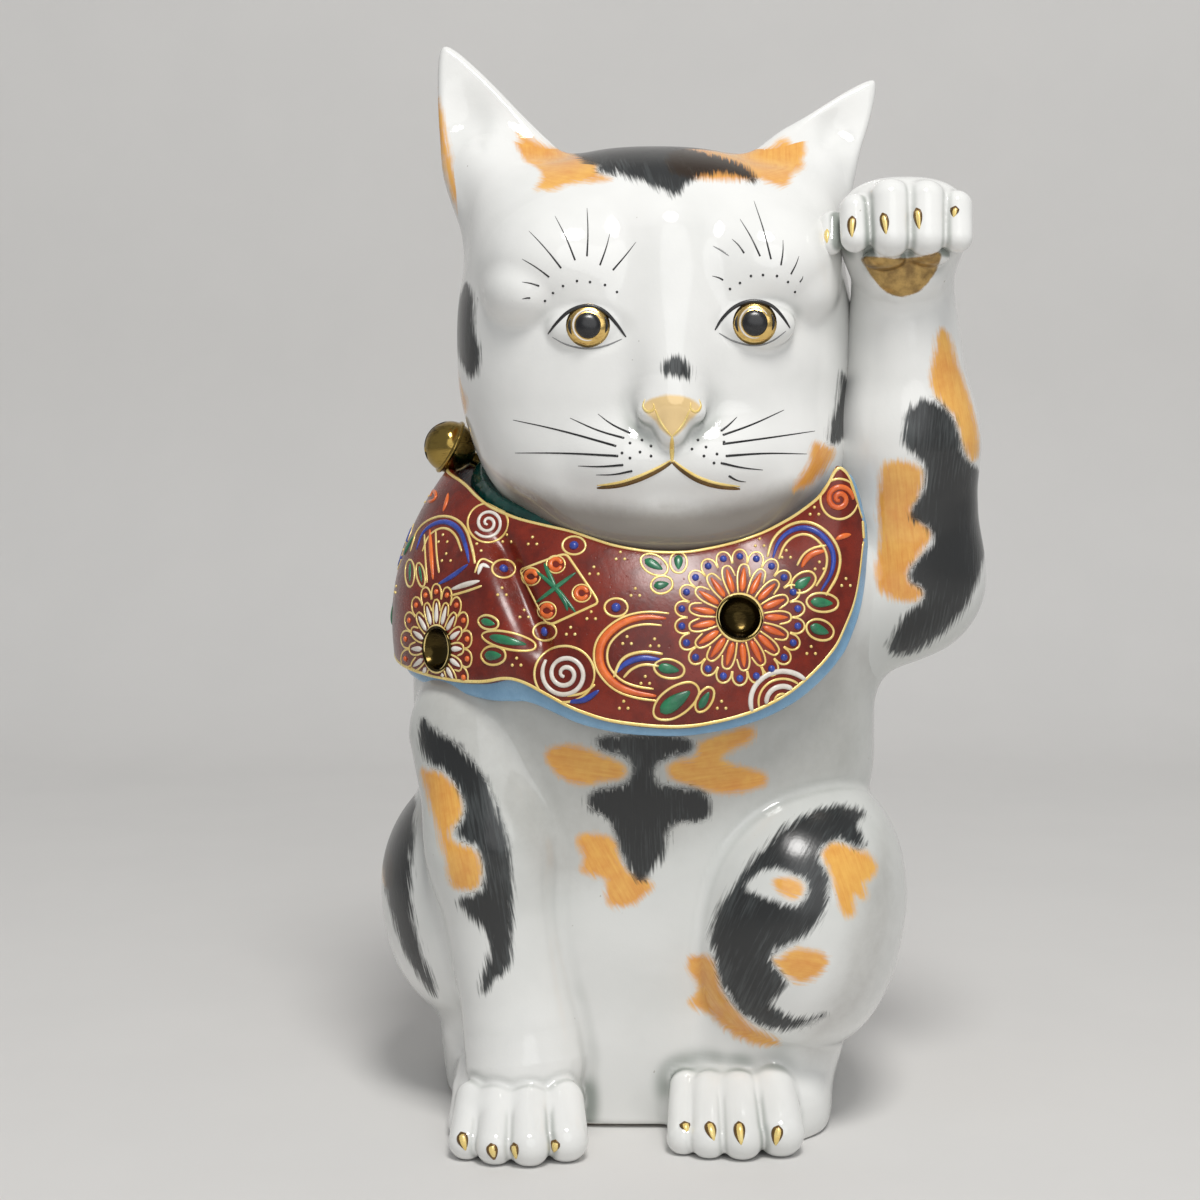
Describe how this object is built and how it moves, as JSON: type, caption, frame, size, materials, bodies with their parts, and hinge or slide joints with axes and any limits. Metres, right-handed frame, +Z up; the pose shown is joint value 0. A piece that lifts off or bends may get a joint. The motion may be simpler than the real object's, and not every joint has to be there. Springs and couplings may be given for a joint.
{
  "type": "beckoning cat figurine",
  "caption": "Seated porcelain cat with one raised beckoning paw, calico patches, a patterned bib, a tied collar and hollow rattle bells at the neck.",
  "frame": {"origin": "on the resting face of the foot slab, below the middle of the body", "axes": "+Z up, +X to the viewer's right when facing the cat, +Y away from the viewer; the cat faces -Y"},
  "size_m": [0.2082, 0.1691, 0.3592],
  "materials": {
    "porcelain": "clear-glazed white porcelain with calico enamel patches",
    "bare_foot": "unglazed bisque foot",
    "bib_enamel": "dark red enamel with raised slip-trailed ornament and gilt lines",
    "lining_enamel": "pale blue enamel",
    "collar_enamel": "dark green enamel",
    "gold_lustre": "burnished gold lustre over glaze",
    "pellet_clay": "fired clay pellet"
  },
  "bodies": {
    "figure": {"body_shell": "porcelain", "head_shell": "porcelain", "left_ear": "porcelain", "right_ear": "porcelain", "raised_arm": "porcelain", "raised_paw": "porcelain", "standing_foreleg": "porcelain", "standing_paw": "porcelain", "left_hind_foot": "porcelain", "right_hind_foot": "porcelain", "tail": "porcelain", "foot_slab": "bare_foot", "bib": "bib_enamel", "bib_lining": "lining_enamel", "collar": "collar_enamel", "collar_bow": "collar_enamel", "left_bell_back": "gold_lustre", "left_bell_front": "gold_lustre", "right_bell_back": "gold_lustre", "right_bell_front": "gold_lustre"},
    "left_pellet": {"left_bell_pellet": "pellet_clay"},
    "right_pellet": {"right_bell_pellet": "pellet_clay"}
  },
  "joints": [
    {"name": "left_pellet_rattle", "type": "slide", "parent": "figure", "child": "left_pellet", "axis": [0, 0, 1], "range_m": [0, 0.008]},
    {"name": "right_pellet_rattle", "type": "slide", "parent": "figure", "child": "right_pellet", "axis": [0, 0, 1], "range_m": [0, 0.008]}
  ]
}
